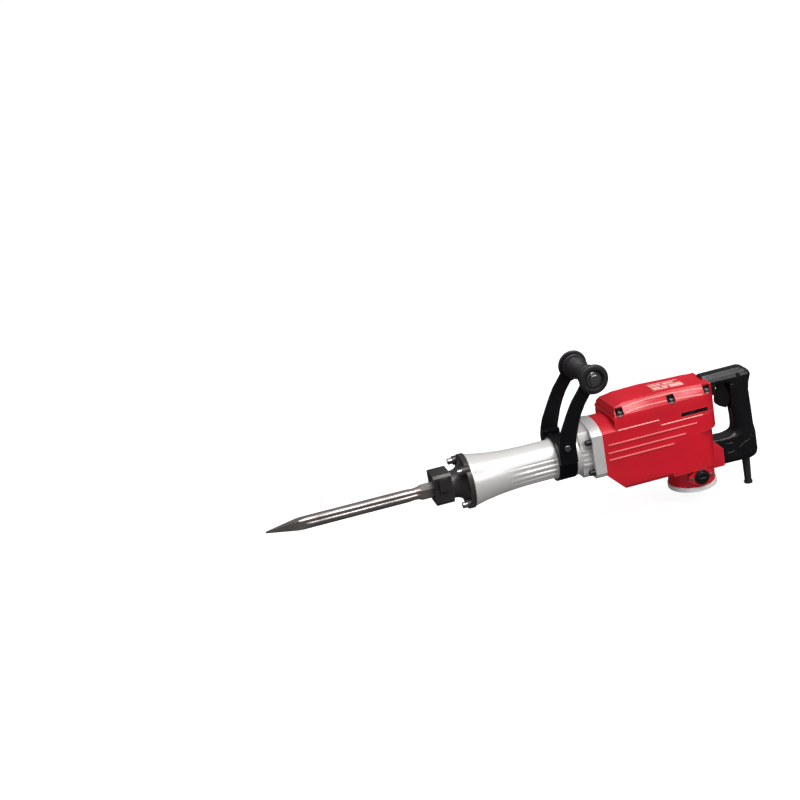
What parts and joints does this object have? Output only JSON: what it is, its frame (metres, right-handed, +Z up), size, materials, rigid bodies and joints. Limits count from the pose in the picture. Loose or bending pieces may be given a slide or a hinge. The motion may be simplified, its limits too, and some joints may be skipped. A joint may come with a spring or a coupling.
{
  "type": "electric jackhammer",
  "caption": "Electric demolition hammer with a bull point chisel, an upright motor, a D-shaped rear handle with a trigger, and a swivelling side handle.",
  "frame": {"origin": "centre of the flat bottom of the tail cover, on the motor axis", "axes": "+Z up along the motor axis, +X rearward along the hammer axis so the chisel points to -X, +Y to the tool's far side"},
  "size_m": [1.051, 0.136, 0.364],
  "materials": {
    "red_paint": "gloss red paint",
    "name_plate": "satin plate",
    "silver_case": "bead-blasted silver",
    "grey_case": "light grey cast",
    "black_cast": "black cast",
    "black_steel": "satin black",
    "chisel_steel": "forged and ground",
    "steel": "machined",
    "bolt_steel": "zinc plated",
    "dark_bolt": "black oxide",
    "bright_bolt": "bright plated",
    "black_plastic": "fine texture",
    "grip_rubber": "matt",
    "light_plastic": "light grey paint",
    "rubber": "matt",
    "laminate": "laminated",
    "copper": "enamelled",
    "brass": "drawn",
    "carbon": "pressed"
  },
  "bodies": {
    "housing": {"main_housing": "red_paint", "top_cover": "red_paint", "top_cover_bolts": "bolt_steel", "name_plate": "name_plate", "gear_case": "grey_case", "gear_case_bolts": "dark_bolt", "cylinder_case": "silver_case", "cylinder_liner": "steel", "front_cover": "black_cast", "front_cover_bolts": "bolt_steel", "tool_bush": "steel", "hammer_holder": "steel", "damper_ring": "rubber", "tail_cover": "light_plastic", "tail_cover_screws": "bolt_steel", "stator_core": "laminate", "field_coils": "copper", "motor_bearings": "steel", "shaft_bearings": "steel", "bearing_plate": "silver_case", "plate_screws": "bolt_steel", "brush_holders": "brass", "carbon_brushes": "carbon", "brush_covers": "black_plastic", "brush_cover_screws": "bolt_steel", "handle_shell_near": "black_plastic", "handle_shell_far": "black_plastic", "handle_screws": "dark_bolt", "handle_bracket": "black_plastic", "bracket_screws": "bright_bolt", "switch_block": "black_plastic", "cord_guard": "rubber", "trigger_pin": "steel"},
    "chisel": {"chisel": "chisel_steel"},
    "tool_retainer": {"tool_retainer": "black_cast"},
    "armature": {"armature_shaft": "steel", "armature_core": "laminate", "commutator": "copper", "cooling_fan": "black_plastic"},
    "countershaft": {"countershaft": "steel", "countershaft_gear": "steel"},
    "crank": {"crank_gear": "steel", "crankshaft": "steel"},
    "rod": {"connecting_rod": "steel", "wrist_pin": "steel"},
    "piston": {"piston": "steel", "piston_ring": "rubber"},
    "striker": {"striker": "steel", "striker_ring": "rubber"},
    "impact_bolt": {"impact_bolt": "steel"},
    "side_handle": {"clamp_band": "black_steel", "side_arms": "black_steel", "side_grip": "grip_rubber", "grip_discs": "grip_rubber", "grip_bolt": "bright_bolt", "grip_nut": "bright_bolt", "band_bolts": "bright_bolt"},
    "trigger": {"trigger": "black_plastic"},
    "lock_button": {"lock_button": "black_plastic"}
  },
  "joints": [
    {"name": "chisel_slide", "type": "slide", "parent": "housing", "child": "chisel", "axis": [1, 0, 0], "range_m": [-0.025, 0]},
    {"name": "retainer_turn", "type": "hinge", "parent": "housing", "child": "tool_retainer", "pos_m": [-0.536, 0, 0.1555], "axis": [0, 1, 0], "range_deg": [0, 180]},
    {"name": "side_handle_turn", "type": "hinge", "parent": "housing", "child": "side_handle", "pos_m": [-0.28, 0, 0.135], "axis": [1, 0, 0], "range_deg": [-180, 180]},
    {"name": "trigger_pull", "type": "hinge", "parent": "housing", "child": "trigger", "pos_m": [0.1, 0, 0.2055], "axis": [0, -1, 0], "range_deg": [0, 9], "stiffness_Nm_per_rad": 0.8, "springref_deg": -5.73},
    {"name": "lock_press", "type": "slide", "parent": "housing", "child": "lock_button", "axis": [0, 1, 0], "range_m": [0, 0.003], "stiffness_N_per_m": 300, "springref_m": -0.001},
    {"name": "armature_spin", "type": "hinge", "parent": "housing", "child": "armature", "pos_m": [0, 0, 0.085], "axis": [0, 0, 1], "continuous": true},
    {"name": "countershaft_spin", "type": "hinge", "parent": "housing", "child": "countershaft", "pos_m": [-0.04275, 0, 0.175], "axis": [0, 0, 1], "continuous": true},
    {"name": "crank_spin", "type": "hinge", "parent": "housing", "child": "crank", "pos_m": [-0.09775, 0, 0.165], "axis": [0, 0, 1], "continuous": true},
    {"name": "rod_swing", "type": "hinge", "parent": "crank", "child": "rod", "pos_m": [-0.10975, 0, 0.135], "axis": [0, 0, 1], "continuous": true},
    {"name": "piston_slide", "type": "slide", "parent": "housing", "child": "piston", "axis": [1, 0, 0], "range_m": [0, 0.024]},
    {"name": "striker_slide", "type": "slide", "parent": "housing", "child": "striker", "axis": [1, 0, 0], "range_m": [-0.034, 0]},
    {"name": "impact_bolt_slide", "type": "slide", "parent": "housing", "child": "impact_bolt", "axis": [1, 0, 0], "range_m": [0, 0.006]}
  ],
  "couplings": [
    {"joint": "countershaft_spin", "follows": "armature_spin", "ratio": -0.1875},
    {"joint": "crank_spin", "follows": "armature_spin", "ratio": 0.058036},
    {"joint": "rod_swing", "follows": "armature_spin", "ratio": -0.058036}
  ]
}
